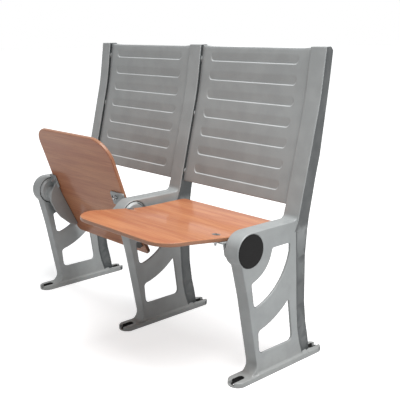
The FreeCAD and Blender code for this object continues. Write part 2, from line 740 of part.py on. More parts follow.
def bracket(name, holes, side):
    """Cast bracket drawn as the left one: boss, neck, arm plate and bolt tab."""
    half = size("seat_pitch") / 2
    boss = turned(name + "_boss", [
        (NEAR, "0"), (NEAR, "dim.hub_bore - dim.boss_gap"),
        ("dim.boss_face - %g" % RIM, "dim.hub_bore - dim.boss_gap"),
        ("dim.boss_face", "dim.hub_bore - dim.boss_gap - %g" % RIM), ("dim.boss_face", "0")])
    place(boss, "-dim.seat_pitch/2", "0", "0")
    neck = new_body(name + "_neck")
    start = "dim.hub_half + dim.face_gap"
    drawn = new_sketch(neck, "YZ_Plane", circles([NECK[:2]], NECK[2]), start + " - dim.seat_pitch/2")
    pad(neck, drawn, "dim.arm_face - dim.arm_plate/2 - (%s)" % start)
    arm = new_body(name + "_arm")
    start = "dim.arm_face - dim.arm_plate - dim.seat_pitch/2"
    pad(arm, new_sketch(arm, "YZ_Plane", outline(ARM_OUTLINE + ARM_CORNER[side]), start), "dim.arm_plate")

    tab_plan = new_body(name + "_tab_plan")
    inner = size(side + "_tab_inner") - half
    reach = size(side + "_tab_reach") - half
    root = size("arm_face") - size("arm_plate") / 2 - half
    corners = outline([(inner, TAB_FRONT, 3), (reach, TAB_FRONT, 9), (reach, TAB_REAR, 4), (root, TAB_REAR, 0),
                       (root, TAB_ROOT, 0), (inner, TAB_ROOT, 3)])
    pad(tab_plan, new_sketch(tab_plan, "XY_Plane", corners), "4*dim.hub_bore", symmetric=True)
    if side == "right":
        across, back, length = SPARE_SLOT
        slot = stadium(across - half, back, size("spare_slot"), length, upright=True)
        pocket(tab_plan, new_sketch(tab_plan, "XY_Plane", slot), "4*dim.hub_bore")
    tab_band = new_body(name + "_tab_band")
    under = size("board_thickness")
    low = board_face(under + size("tab_plate"))[::-1]
    band = outline([(y, z + 20, bend) for y, z, bend in board_face(under)] + low)
    pad(tab_band, new_sketch(tab_band, "YZ_Plane", band), "dim.seat_pitch", symmetric=True)
    tab = doc.addObject("Part::Common", name + "_tab")
    tab.Base = tab_plan
    tab.Tool = tab_band

    fused = doc.addObject("Part::MultiFuse", name + "_fused")
    fused.Shapes = [arm, neck, tab]
    above = new_body(name + "_above")
    space = outline(board_face(under) + [(size("board_rear"), 150, 0), (-size("board_front"), 150, 0)])
    pad(above, new_sketch(above, "YZ_Plane", space), "dim.seat_pitch*2", symmetric=True)
    trimmed = cut(name + "_trimmed", cut(name + "_bored", fused, holes), above)
    whole = doc.addObject("Part::MultiFuse", name + "_whole")
    whole.Shapes = [boss, trimmed]
    bores = new_body(name + "_bores")
    bush = circles([(0, 0)], size("shaft_radius") + size("shaft_fit") + size("bush_wall"))
    start = NEAR + " - 1 - dim.seat_pitch/2"
    drawn = new_sketch(bores, "YZ_Plane", bush, start)
    pad(bores, drawn, "dim.pivot_depth + 2 - " + NEAR)
    drawn = new_sketch(bores, "YZ_Plane", stop_track(), start)
    pad(bores, drawn, "dim.stop_depth + 1")
    return cut(name, whole, bores)


def stop_track():
    """Curved slot in the boss that lets the stop pin travel."""
    middle = size("stop_circle")
    half = size("stop_sleeve") + size("stop_gap")
    first = math.radians(size("stop_start"))
    last = first + math.radians(size("tip_angle"))

    def at(radius, angle):
        return vec(radius * math.cos(angle), radius * math.sin(angle))

    mid = (first + last) / 2
    lead = half / middle
    return [Part.Arc(at(middle + half, first), at(middle + half, mid), at(middle + half, last)),
            Part.Arc(at(middle + half, last), at(middle, last) + at(half, last + math.pi / 2),
                     at(middle - half, last)),
            Part.Arc(at(middle - half, last), at(middle - half, mid), at(middle - half, first)),
            Part.Arc(at(middle - half, first), at(middle, first) + at(half, first - math.pi / 2),
                     at(middle + half, first))]


def mirrored_holes(prefix, holes):
    """The bored rods as the right bracket's drawing sees them, before it is mirrored."""
    turned_over = doc.addObject("Part::Mirroring", prefix + "rods_mirrored")
    turned_over.Source = holes
    turned_over.Normal = vec(1, 0)
    return turned_over


def seat(name, bay, tipped):
    prefix = name + "_seat_"

    def settle(piece, label):
        turn = FreeCAD.Rotation(vec(-1, 0), size("tip_angle") if tipped else 0)
        piece.Placement = FreeCAD.Placement(vec(0, 0), turn)
        place(piece, bay, "-dim.hub_setback", "dim.hub_height")
        return node(prefix + label, piece)

    holes = bolt_holes(prefix)
    settle(cut(prefix + "board", board_raw(prefix + "plank"), holes), "board")
    left = bracket(prefix + "bracket_left", holes, "left")
    right = doc.addObject("Part::Mirroring", prefix + "bracket_right")
    right.Source = bracket(prefix + "bracket_drawn", mirrored_holes(prefix, holes), "right")
    right.Normal = vec(1, 0)
    settle(right, "bracket_right")
    copy = doc.addObject("Part::Compound", prefix + "bracket_left_placed")
    copy.Links = [left]
    settle(copy, "bracket_left")

    bushes = []
    for side in (1, -1):
        inner = "(dim.shaft_radius + dim.shaft_fit)"
        ring = turned(prefix + "bush_%d" % side, [
            (NEAR, inner), (NEAR, inner + " + dim.bush_wall"),
            ("dim.pivot_depth + 1", inner + " + dim.bush_wall"), ("dim.pivot_depth + 1", inner)])
        if side < 0:
            ring.Placement = TURNED_ROUND
        place(ring, "%d*dim.seat_pitch/2" % -side, "0", "0")
        bushes.append(ring)
    pair = doc.addObject("Part::Compound", prefix + "pivot_bushes")
    pair.Links = bushes
    settle(pair, "pivot_bushes")

    bolts = []
    nuts = []
    crown = "dim.bolt_crown"
    tip = "-(dim.board_thickness + dim.tab_plate + dim.bolt_end)"
    for side in (1, -1):
        frame = bolt_frame(side)
        bolt = turned("%sbolt_%d" % (prefix, side), [
            ("0", crown + "*0.1"), ("dim.bolt_socket", crown + "*0.1"), ("dim.bolt_socket", crown),
            ("dim.bolt_head/2", crown + "*0.9"), ("dim.bolt_head", crown + "*0.2"), ("dim.bolt_head", "0"),
            ("dim.bolt_radius", "0"), ("dim.bolt_radius", tip), ("0", tip)], upright=True)
        bolt.Placement = frame
        bolts.append(bolt)
        low = size("board_thickness") + size("tab_plate") + size("nut_height") + 2 * size("fit_gap")
        under = frame.multiply(FreeCAD.Placement(vec(0, 0, -low), FreeCAD.Rotation()))
        nuts.append(nut("%snut_%d" % (prefix, side), "dim.bolt_radius", "dim.nut", under))
    for label, pieces in (("bolts", bolts), ("nuts", nuts)):
        gathered = doc.addObject("Part::Compound", prefix + label)
        gathered.Links = pieces
        settle(gathered, label)


def nut(name, bore, kind, frame):
    """Hexagon nut standing on its frame's origin along its Z."""
    block = doc.addObject("Part::Prism", name + "_hexagon")
    block.Polygon = 6
    block.setExpression("Circumradius", kind + "_corner")
    block.setExpression("Height", kind + "_height")
    hole = doc.addObject("Part::Cylinder", name + "_bore")
    hole.setExpression("Radius", bore)
    hole.setExpression("Height", kind + "_height")
    result = cut(name, block, hole)
    result.Placement = frame
    return result


# Pieces in and on the hubs

ALONG_X = FreeCAD.Rotation(vec(0, 1), 90)


def at_hub(piece, across, flip=False):
    """Set a turned piece on the hub axis, its X pointing to the left if flipped."""
    if flip:
        piece.Placement = TURNED_ROUND
    place(piece, across, "-dim.hub_setback", "dim.hub_height")
    return piece


def pivot_shaft(name, end):
    return turned("pivot_shaft_" + name, [
        ("-%s" % end, "0"), ("-%s" % end, "dim.stud_radius"), ("dim.web_thickness/2", "dim.stud_radius"),
        ("dim.web_thickness/2", "dim.shaft_radius"), ("dim.pivot_depth", "dim.shaft_radius"),
        ("dim.pivot_depth", "0")])


def hub_pieces():
    node("pivot_shaft_right", at_hub(pivot_shaft("right", "dim.stud_end"), STANCHIONS[2][1], flip=True))
    node("pivot_shaft_left", at_hub(pivot_shaft("left", "dim.stud_end"), STANCHIONS[0][1]))
    sleeve_end = "(dim.pivot_depth - dim.sleeve_floor)"
    inside = "(%s - 5*dim.fit_gap)" % sleeve_end
    node("pivot_shaft_middle", at_hub(pivot_shaft("middle", inside), STANCHIONS[1][1]))
    sleeve = turned("pivot_sleeve", [
        ("dim.web_thickness/2", "dim.stud_radius"), ("dim.web_thickness/2", "dim.shaft_radius"),
        ("dim.pivot_depth", "dim.shaft_radius"), ("dim.pivot_depth", "0"), (sleeve_end, "0"),
        (sleeve_end, "dim.stud_radius")])
    node("pivot_sleeve_middle", at_hub(sleeve, STANCHIONS[1][1], flip=True))

    nuts = []
    washers = []
    caps = []
    for number, (side, across) in enumerate((STANCHIONS[0], STANCHIONS[2])):
        flip = side == "right"
        washer = turned("shaft_washer_" + side, [
            ("-dim.web_thickness/2", "dim.stud_radius"), ("-dim.web_thickness/2", "dim.stud_radius*2"),
            ("-dim.web_thickness/2 - dim.washer_thickness", "dim.stud_radius*2"),
            ("-dim.web_thickness/2 - dim.washer_thickness", "dim.stud_radius")])
        washers.append(at_hub(washer, across, flip))
        lying = FreeCAD.Placement(vec(0, 0), ALONG_X)
        piece = nut("shaft_nut_" + side, "dim.stud_radius", "dim.end_nut", lying)
        start = " + dim.web_thickness/2 + dim.washer_thickness"
        if not flip:
            start = " - dim.web_thickness/2 - dim.washer_thickness - dim.end_nut_height"
        place(piece, across + start, "-dim.hub_setback", "dim.hub_height")
        nuts.append(piece)
        rim = "dim.hub_bore - dim.fit_gap"
        face = "-dim.hub_half" if flip else "-(dim.arm_width - dim.hub_half)"
        cap = turned("hub_cap_" + side, [
            (face, "0"), (face, rim), (face + " + dim.cap_skirt", rim),
            (face + " + dim.cap_skirt", rim + " - dim.cap_thickness"),
            (face + " + dim.cap_thickness", rim + " - dim.cap_thickness"),
            (face + " + dim.cap_thickness", "0")])
        node("hub_cap_" + side, at_hub(cap, across, flip))
    group("shaft_washers", washers)
    group("shaft_nuts", nuts)

    y, z = stop_place()
    pins = []
    for side, across in STANCHIONS:
        pin = doc.addObject("Part::Cylinder", "stop_pin_" + side)
        pin.setExpression("Radius", "dim.stop_pin")
        reach = "(dim.web_thickness/2 + dim.face_gap + dim.stop_depth - 1)"
        left_end = reach if side != "left" else "dim.web_thickness/2"
        right_end = reach if side != "right" else "dim.web_thickness/2"
        pin.setExpression("Height", left_end + " + " + right_end)
        pin.Placement = FreeCAD.Placement(vec(0, 0), ALONG_X)
        place(pin, across + " - " + left_end, "-dim.hub_setback + %g" % y, "dim.hub_height + %g" % z)
        pins.append(pin)
    group("stop_pins", pins)

    sleeves = []
    seals = []
    for side, across in STANCHIONS:
        for sign in (1, -1):
            if (side, sign) in (("left", -1), ("right", 1)):
                continue
            flip = sign < 0
            sleeve = turned("stop_sleeve_%s_%d" % (side, sign), [
                ("dim.web_thickness/2", "dim.stop_pin"), ("dim.web_thickness/2", "dim.stop_sleeve"),
                ("dim.web_thickness/2 + dim.face_gap + dim.stop_depth - 1", "dim.stop_sleeve"),
                ("dim.web_thickness/2 + dim.face_gap + dim.stop_depth - 1", "dim.stop_pin")])
            if flip:
                sleeve.Placement = TURNED_ROUND
            place(sleeve, across, "-dim.hub_setback + %g" % y, "dim.hub_height + %g" % z)
            sleeves.append(sleeve)
            outer = "dim.hub_half - dim.seal_setback"
            inner = outer + " - dim.seal_width"
            lip = "dim.hub_bore - dim.boss_gap + dim.seal_gap"
            seal = turned("hub_seal_%s_%d" % (side, sign), [
                (inner, lip), (inner, "dim.hub_bore"), (outer, "dim.hub_bore"), (outer, lip)])
            seals.append(at_hub(seal, across, flip))
    group("stop_sleeves", sleeves)
    group("hub_seals", seals)


def backrest_screws():
    screws = []
    for side, across in STANCHIONS:
        for sign in (1, -1):
            if (side, sign) in (("left", -1), ("right", 1)):
                continue
            for z in LUG_HEIGHTS:
                seat_face = "(dim.post_width/2 + dim.panel_gap + dim.panel_sheet)"
                screw = turned("backrest_screw", [
                    (seat_face + " - dim.screw_depth - dim.panel_sheet + 1", "0"),
                    (seat_face + " - dim.screw_depth - dim.panel_sheet + 1", "dim.screw_radius"),
                    (seat_face, "dim.screw_radius"), (seat_face, "2*dim.screw_radius"),
                    (seat_face + " + dim.screw_head", "1.4*dim.screw_radius"),
                    (seat_face + " + dim.screw_head", "0")])
                if sign < 0:
                    screw.Placement = TURNED_ROUND
                place(screw, across, "-dim.hub_setback + %g" % lug_place(z), "%g" % z)
                screws.append(screw)
    group("backrest_screws", screws)


def slot_liners():
    liners = []
    for side, across in STANCHIONS:
        for sign, centre in zip((-1, 1), slot_centres()):
            liner = new_body("liner")
            width = size("slot_width")
            length = size("slot_length")
            wall = 2 * size("liner_wall")
            outer = stadium(0, 0, width, length, upright=True)
            pad(liner, new_sketch(liner, "XY_Plane", outer), "dim.foot_thickness")
            inner = new_sketch(liner, "XY_Plane", stadium(0, 0, width - wall, length - wall, upright=True))
            pocket(liner, inner, "dim.foot_thickness*2", symmetric=False, reverse=True)
            notch(liner, sign * (length / 2 + size("slot_rim")), -sign)
            place(liner, across, "-dim.hub_setback + %g" % centre, "0")
            liners.append(liner)
    group("floor_slot_liners", liners)


for name, across in STANCHIONS:
    sides = {"left": (1,), "middle": (1, -1), "right": (-1,)}[name]
    casting = stanchion(name, sides)
    place(casting, across, "-dim.hub_setback", "0")
    node("stanchion_" + name, casting)
for name, across in BAYS:
    panel = backrest(name)
    place(panel, across, "-dim.hub_setback", "0")
    node("backrest_" + name, panel)
for name, across in BAYS:
    seat(name, across, tipped=name == "left")
hub_pieces()
backrest_screws()
slot_liners()

doc.recompute()
for feature in doc.Objects:
    if "Invalid" in feature.State or "Error" in feature.State:
        raise RuntimeError("failed: %s %s" % (feature.Name, feature.State))
os.makedirs("parts", exist_ok=True)
for name, piece in nodes:
    shape = piece.Shape
    if shape.isNull() or not shape.isValid():
        raise RuntimeError("bad shape: " + name)
    box = shape.BoundBox
    print(name, len(shape.Solids), round(shape.Volume),
          [round(v, 1) for v in (box.XMin, box.YMin, box.ZMin, box.XMax, box.YMax, box.ZMax)])
    shape.exportStep("parts/%s.step" % name)
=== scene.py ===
import math
import bmesh
import bpy
import numpy as np
from mathutils import Matrix, Vector


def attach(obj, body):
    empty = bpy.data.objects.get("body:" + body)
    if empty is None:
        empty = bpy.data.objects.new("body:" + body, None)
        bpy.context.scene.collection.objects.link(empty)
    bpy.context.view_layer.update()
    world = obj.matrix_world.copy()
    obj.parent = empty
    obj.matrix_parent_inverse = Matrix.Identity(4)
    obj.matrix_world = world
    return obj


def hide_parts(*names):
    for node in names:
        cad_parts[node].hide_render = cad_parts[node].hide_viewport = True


# Looks of the stadium seats. X runs along the row, Y from front to back, Z up, all in metres.
# Drawn pieces are given in millimetres: y from the hub axis, and z from the floor or from the hub axis.

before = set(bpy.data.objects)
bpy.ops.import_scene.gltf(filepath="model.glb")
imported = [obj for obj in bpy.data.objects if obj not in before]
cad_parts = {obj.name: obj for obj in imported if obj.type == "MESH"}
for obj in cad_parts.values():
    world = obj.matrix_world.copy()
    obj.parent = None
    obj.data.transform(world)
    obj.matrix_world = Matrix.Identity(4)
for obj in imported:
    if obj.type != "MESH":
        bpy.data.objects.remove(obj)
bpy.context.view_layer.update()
scene = bpy.context.scene
scene.view_settings.view_transform = "Standard"

MM = 0.001
UP = Vector((0, 0, 1))

# Camera, fitted to the photograph

CAMERA_PLACE = Vector((1.90729, -1.53054, 1.03185))
CAMERA_AZIMUTH = math.radians(48.130)
CAMERA_ELEVATION = math.radians(13.697)
CAMERA_ROLL = math.radians(-0.508)
CAMERA_LENS = 63.706


def aim_camera():
    level = math.cos(CAMERA_ELEVATION)
    back = Vector((math.sin(CAMERA_AZIMUTH) * level, -math.cos(CAMERA_AZIMUTH) * level,
                   math.sin(CAMERA_ELEVATION)))
    side = (-back).cross(UP).normalized()
    top = side.cross(-back)
    turn, lift = math.cos(CAMERA_ROLL), math.sin(CAMERA_ROLL)
    axes = Matrix((turn * side + lift * top, turn * top - lift * side, back)).transposed()
    lens = bpy.data.cameras.new("photo_camera")
    lens.sensor_width = 36
    lens.lens = CAMERA_LENS
    camera = bpy.data.objects.new("photo_camera", lens)
    camera.matrix_world = Matrix.Translation(CAMERA_PLACE) @ axes.to_4x4()
    scene.collection.objects.link(camera)
    scene.camera = camera


aim_camera()

# Shader helpers


def linear(code):
    """Linear colour of an sRGB hex code."""
    def channel(part):
        level = int(part, 16) / 255
        return level / 12.92 if level <= 0.04045 else ((level + 0.055) / 1.055) ** 2.4
    return tuple(channel(code[i:i + 2]) for i in (0, 2, 4)) + (1.0,)


def add(tree, kind, links=None, **settings):
    """New node. A link is a socket to join or a plain value to set."""
    made = tree.nodes.new(kind)
    for name, setting in settings.items():
        setattr(made, name, setting)
    for name, source in (links or {}).items():
        if isinstance(source, bpy.types.NodeSocket):
            tree.links.new(source, made.inputs[name])
        else:
            made.inputs[name].default_value = source
    return made


def math_node(tree, operation, first, second=0.0, third=0.0):
    return add(tree, "ShaderNodeMath", {0: first, 1: second, 2: third}, operation=operation).outputs[0]


def noise(tree, vector, pitch, detail=2.0, rough=0.5):
    """Noise whose main features are pitch millimetres apart."""
    return add(tree, "ShaderNodeTexNoise", {"Vector": vector, "Scale": 1000 / pitch, "Detail": detail,
                                            "Roughness": rough}).outputs["Fac"]


def spread(tree, fac, low, high, to_low=0.0, to_high=1.0):
    return add(tree, "ShaderNodeMapRange", {"Value": fac, "From Min": low, "From Max": high, "To Min": to_low,
                                            "To Max": to_high}, interpolation_type="SMOOTHSTEP").outputs["Result"]


def blend_colour(tree, fac, first, second, mode="MIX"):
    made = add(tree, "ShaderNodeMix", {0: fac, 6: first, 7: second}, data_type="RGBA", blend_type=mode)
    return made.outputs[2]


def bump(tree, height, depth, normal=None):
    """Bump of a depth in millimetres."""
    links = {"Height": height, "Distance": depth * MM, "Strength": 1.0}
    if normal is not None:
        links["Normal"] = normal
    return add(tree, "ShaderNodeBump", links).outputs["Normal"]


def new_material(name):
    made = bpy.data.materials.new(name)
    made.use_nodes = True
    tree = made.node_tree
    tree.nodes.clear()
    shader = add(tree, "ShaderNodeBsdfPrincipled")
    add(tree, "ShaderNodeOutputMaterial", {"Surface": shader.outputs["BSDF"]})
    return made, tree, shader


def set_inputs(tree, shader, links):
    for name, source in links.items():
        if isinstance(source, bpy.types.NodeSocket):
            tree.links.new(source, shader.inputs[name])
        else:
            shader.inputs[name].default_value = source


def stretched(tree, vector, factors):
    return add(tree, "ShaderNodeVectorMath", {0: vector, 1: factors}, operation="MULTIPLY").outputs[0]


# Materials


def powder_coat(name, pale, dark, shade, lump):
    """Silver-grey powder coat on aluminium.

    The eye sees a satin grey with fine orange peel over soft waves of the metal, a few bright flakes, dust low
    down, painted shade on the flanks behind each face and a painted highlight along the lower edge of each pressed
    groove.
    """
    made, tree, shader = new_material(name)
    coord = add(tree, "ShaderNodeTexCoord")
    place = coord.outputs["Object"]
    axes = add(tree, "ShaderNodeSeparateXYZ", {0: place})
    clouds = noise(tree, place, 70, 3)
    colour = blend_colour(tree, spread(tree, clouds, 0.35, 0.65), linear(dark), linear(pale))
    flakes = noise(tree, place, 0.6, 1)
    colour = blend_colour(tree, spread(tree, flakes, 0.60, 0.75, 0, 0.25), colour, linear("C4C8C8"))
    dust = spread(tree, axes.outputs["Z"], 0.10, 0.0, 0, 0.35)
    dust = math_node(tree, "MULTIPLY", dust, noise(tree, place, 12, 4))
    colour = blend_colour(tree, dust, colour, linear("7E786F"))
    # Painted shade: flanks that face sideways and to the rear are mixed towards dark grey 363A3B, scaled by shade.
    # It stands in for the shade the lamps leave there; the coat itself is one colour.
    facing = add(tree, "ShaderNodeSeparateXYZ", {0: coord.outputs["Normal"]})
    flank = spread(tree, math_node(tree, "ABSOLUTE", facing.outputs["X"]), 0.5, 0.8)
    rearward = spread(tree, facing.outputs["Y"], 0.08, 0.20)
    flank = math_node(tree, "MULTIPLY", math_node(tree, "MULTIPLY", flank, rearward), shade)
    colour = blend_colour(tree, flank, colour, linear("363A3B"))
    # Painted highlight: the lower flank of each pressed groove is lightened towards pale E6E8E8. It stands in for
    # the light that the flank catches.
    pressed = add(tree, "ShaderNodeAttribute", attribute_name="painted_groove_highlight").outputs["Fac"]
    colour = blend_colour(tree, math_node(tree, "MULTIPLY", pressed, 0.85), colour, linear("E6E8E8"))
    relief = bump(tree, noise(tree, place, lump[0], 2), lump[1])
    relief = bump(tree, noise(tree, place, 1.4, 1), 0.02, relief)
    gloss = spread(tree, noise(tree, place, 40, 3), 0.3, 0.7, 0.40, 0.50)
    set_inputs(tree, shader, {"Base Color": colour, "Roughness": gloss, "Metallic": 0.12, "Normal": relief,
                              "Specular IOR Level": 0.4})
    return made


def plywood():
    """Rotary-cut beech veneer under clear gloss varnish: long reddish bands, fine pores, bare plies at the edge.

    The grain runs along X.
    """
    made, tree, shader = new_material("varnished beech plywood")
    coord = add(tree, "ShaderNodeTexCoord")
    place = coord.outputs["Object"]
    bands = noise(tree, stretched(tree, place, (0.10, 1.0, 1.0)), 34, 3, 0.55)
    streaks = noise(tree, stretched(tree, place, (0.03, 1.0, 1.0)), 4.5, 4, 0.6)
    pores = noise(tree, stretched(tree, place, (0.07, 1.0, 1.0)), 0.9, 2, 0.5)
    face = blend_colour(tree, spread(tree, bands, 0.34, 0.66), linear("AC6B49"), linear("BE815A"))
    face = blend_colour(tree, spread(tree, streaks, 0.40, 0.70, 0, 0.5), face, linear("9A5A3B"))
    face = blend_colour(tree, spread(tree, pores, 0.60, 0.72, 0, 0.35), face, linear("7C452D"))
    depth = add(tree, "ShaderNodeAttribute", attribute_name="ply_depth").outputs["Fac"]
    ply = math_node(tree, "PINGPONG", math_node(tree, "MULTIPLY", depth, 9.0), 1.0)
    grain = noise(tree, place, 1.5, 3)
    wood = blend_colour(tree, spread(tree, ply, 0.35, 0.65), linear("8A5F49"), linear("B07F60"))
    wood = blend_colour(tree, spread(tree, grain, 0.4, 0.7, 0, 0.35), wood, linear("6E4A37"))
    facing = add(tree, "ShaderNodeSeparateXYZ", {0: coord.outputs["Normal"]})
    edge = spread(tree, math_node(tree, "ABSOLUTE", facing.outputs["Z"]), 0.80, 0.55)
    colour = blend_colour(tree, edge, face, wood)
    relief = bump(tree, streaks, 0.05)
    relief = bump(tree, pores, 0.03, relief)
    set_inputs(tree, shader, {"Base Color": colour, "Roughness": 0.5, "Normal": relief, "Coat Weight": 0.3,
                              "Coat Roughness": 0.12, "Specular IOR Level": 0.25})
    return made


def moulded(name, code, rough, grain, depth):
    """Moulded plastic or rubber: one even tone, a fine grain from the mould and faint scuffs."""
    made, tree, shader = new_material(name)
    place = add(tree, "ShaderNodeTexCoord").outputs["Object"]
    scuffs = noise(tree, stretched(tree, place, (1.0, 0.3, 1.0)), 6, 4, 0.7)
    colour = blend_colour(tree, spread(tree, scuffs, 0.55, 0.75, 0, 0.15), linear(code), linear("4A4A4A"))
    gloss = spread(tree, scuffs, 0.3, 0.7, rough, rough + 0.12)
    relief = bump(tree, noise(tree, place, grain, 2), depth)
    set_inputs(tree, shader, {"Base Color": colour, "Roughness": gloss, "Normal": relief,
                              "Specular IOR Level": 0.15})
    return made


def zinc_steel():
    """Steel, turned and zinc plated: bright metal, clouded by its passivation."""
    made, tree, shader = new_material("zinc plated steel")
    place = add(tree, "ShaderNodeTexCoord").outputs["Object"]
    clouds = noise(tree, place, 5, 3)
    colour = blend_colour(tree, spread(tree, clouds, 0.35, 0.65), linear("8F9092"), linear("B9BBBC"))
    relief = bump(tree, noise(tree, place, 0.6, 2), 0.01)
    gloss = spread(tree, clouds, 0.3, 0.7, 0.26, 0.4)
    set_inputs(tree, shader, {"Base Color": colour, "Metallic": 1.0, "Roughness": gloss, "Normal": relief})
    return made


# The fourth argument sets how strongly the painted shade darkens the flanks: fully on the castings, not at all on
# the sheet.
cast_paint = powder_coat("silver powder coat on cast aluminium", "9DA0A0", "959898", 1.0, (22, 0.12))
sheet_paint = powder_coat("silver powder coat on pressed aluminium", "9B9E9E", "959898", 0.0, (120, 0.15))
wood = plywood()
nylon = moulded("moulded black nylon", "0E0D0D", 0.45, 0.8, 0.03)
rubber = moulded("moulded black rubber", "222222", 0.7, 1.2, 0.04)
acetal = moulded("machined white acetal", "DAD8D0", 0.35, 1.0, 0.01)
zinc = zinc_steel()

# Mesh helpers


def new_object(name, vertices, faces):
    mesh = bpy.data.meshes.new(name)
    mesh.from_pydata([tuple(v) for v in vertices], [], faces)
    mesh.update()
    made = bpy.data.objects.new(name, mesh)
    scene.collection.objects.link(made)
    return made


def smooth(obj):
    obj.data.polygons.foreach_set("use_smooth", [True] * len(obj.data.polygons))


def dress(obj, material, slot, body, *nodes):
    """Give a piece its material and its body, and hide the CAD nodes it stands for; the slot argument is not used.
    """
    obj.data.materials.clear()
    obj.data.materials.append(material)
    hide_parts(*nodes)
    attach(obj, body)
    return obj


def baked(obj):
    """Replace an object's mesh by what its modifiers make of it."""
    graph = bpy.context.evaluated_depsgraph_get()
    mesh = bpy.data.meshes.new_from_object(obj.evaluated_get(graph))
    obj.modifiers.clear()
    obj.data = mesh
    return obj


def cast_copy(node, voxel, rounds, faces):
    """Casting made from a CAD node, its edges softened as sand casting leaves them."""
    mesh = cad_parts[node].data.copy()
    made = bpy.data.objects.new("cast_" + node, mesh)
    scene.collection.objects.link(made)
    work = bmesh.new()
    work.from_mesh(mesh)
    bmesh.ops.remove_doubles(work, verts=work.verts, dist=0.01 * MM)
    work.to_mesh(mesh)
    work.free()
    shell = made.modifiers.new("shell", "REMESH")
    shell.mode = "VOXEL"
    shell.voxel_size = voxel * MM
    soften = made.modifiers.new("soften", "SMOOTH")
    soften.factor = 0.5
    soften.iterations = rounds
    baked(made)
    thin = made.modifiers.new("thin", "DECIMATE")
    thin.ratio = min(1.0, faces / max(1, 2 * len(made.data.polygons)))
    baked(made)
    smooth(made)
    return made


def rounded(corners, step):
    """Points along an open path of (a, b, radius) corners with its bends rounded."""
    points = [np.array(corners[0][:2], float)]
    for before, here, after in zip(corners, corners[1:], corners[2:]):
        corner = np.array(here[:2], float)
        back = np.array(before[:2], float) - corner
        ahead = np.array(after[:2], float) - corner
        back /= np.linalg.norm(back)
        ahead /= np.linalg.norm(ahead)
        half = math.acos(np.clip(back @ ahead, -1, 1)) / 2
        reach = here[2] / math.tan(half)
        inward = (back + ahead) / np.linalg.norm(back + ahead)
        centre = corner + inward * here[2] / math.sin(half)
        start = corner + back * reach - centre
        end = corner + ahead * reach - centre
        sweep = math.pi - 2 * half
        count = max(2, int(here[2] * sweep / step))
        for i in range(count + 1):
            t = i / count
            mixed = start * math.sin((1 - t) * sweep) + end * math.sin(t * sweep)
            points.append(centre + mixed / math.sin(sweep))
    points.append(np.array(corners[-1][:2], float))
    return np.array(points)


def ease(x):
    x = np.clip(x, 0, 1)
    return x * x * (3 - 2 * x)


# Cast stanchions and seat brackets

STANCHION_VOXEL = 1.8
BRACKET_VOXEL = 1.4
EASING_ROUNDS = 4
STANCHION_FACES = 50000
BRACKET_FACES = 14000

for side in ("left", "middle", "right"):
    casting = cast_copy("stanchion_" + side, STANCHION_VOXEL, EASING_ROUNDS, STANCHION_FACES)
    dress(casting, cast_paint, "cast_aluminium", "frame", "stanchion_" + side)
for seat in ("left", "right"):
    for side in ("left", "right"):
        node = "%s_seat_bracket_%s" % (seat, side)
        casting = cast_copy(node, BRACKET_VOXEL, EASING_ROUNDS, BRACKET_FACES)
        dress(casting, cast_paint, "cast_aluminium", "seat_" + seat, node)

# Pressed backrests, z from the floor

PITCH = 550.0
HUB_BACK = 140.0
HUB_HEIGHT = 411.0
ARM_TOP = 465.0
POST_FOOT = 193.0
POST_LEAN = math.tan(math.radians(13.9))
TOP_LEAN = math.tan(math.radians(8.2))
KNEE = 822.0
KNEE_ROUND = 700.0
KNEE_EASED = 0.9
PANEL_WIDTH = 487.0
PANEL_LOW = 503.0
PANEL_TOP = 971.0
PANEL_DEPTH = 22.0
PANEL_BEND = 2.6
PANEL_SHEET = 2.5
PANEL_SETBACK = 9.0
PANEL_STEP = 6
LOW_FACE = PANEL_SETBACK + POST_FOOT + (PANEL_LOW - ARM_TOP) * POST_LEAN
KNEE_FACE = PANEL_SETBACK + POST_FOOT + (KNEE - ARM_TOP) * POST_LEAN
TOP_FACE = KNEE_FACE + (PANEL_TOP - KNEE) * TOP_LEAN
PANEL_PATH = [(LOW_FACE, PANEL_LOW, 0), (KNEE_FACE - KNEE_EASED, KNEE, KNEE_ROUND), (TOP_FACE, PANEL_TOP, 0)]
GROOVE_LOW = 537.0
GROOVE_STEP = 63.5
GROOVE_COUNT = 7
GROOVE_LENGTH = 396.0
GROOVE_TALL = 32.0
GROOVE_DEEP = 2.8
GROOVE_FLANK = 3.2
GROOVE_FADE_START = 2.0
GROOVE_ROWS = (-12, -2, 0, 0.7, 1.4, 2.1, 2.8, 3.6, 5, 8, 12, 16, 20, 24, 28, 32, 36, 44)
EDGE_DIP = 3.0
EDGE_DIP_TALL = 40.0
END_RUN = 45.0


def fold_stops(length):
    """Stops across a folded panel: place, how far into the bend, and depth of the fold."""
    bend = [(PANEL_BEND * math.sin(a), PANEL_BEND * (1 - math.cos(a))) for a in np.linspace(0, math.pi / 2, 6)]
    last = [(length - PANEL_BEND + out, out, back) for out, back in bend[1:]]
    last += [(length, PANEL_BEND, back) for back in (8, 15, PANEL_DEPTH)]
    first = [(length - place, -out, back) for place, out, back in last[::-1]]
    return first, last


def groove(x, z):
    """Depth of the pressing at a point, and the strength of the painted highlight on its lower flank.

    Each pressing has a steep lower flank and fades out upwards.
    """
    radius = GROOVE_TALL / 2
    deepest = 0.0
    edge = 0.0
    for number in range(GROOVE_COUNT):
        low = GROOVE_LOW + number * GROOVE_STEP
        rise = z - low
        if 0 < rise < GROOVE_TALL:
            along = max(0.0, abs(x) - (GROOVE_LENGTH / 2 - radius))
            inside = radius - math.hypot(along, rise - radius)
            flank = float(ease(inside / GROOVE_FLANK))
            fade = min(1.0, 1 - (rise - GROOVE_FADE_START) / (GROOVE_TALL - GROOVE_FADE_START))
            deepest = GROOVE_DEEP * min(flank, fade)
            # Painted highlight: strongest across the steep lower flank, and gone halfway up the pressing.
            edge = (1 - abs(2 * flank - 1)) * max(0.0, 1 - rise / radius)
    return deepest, edge


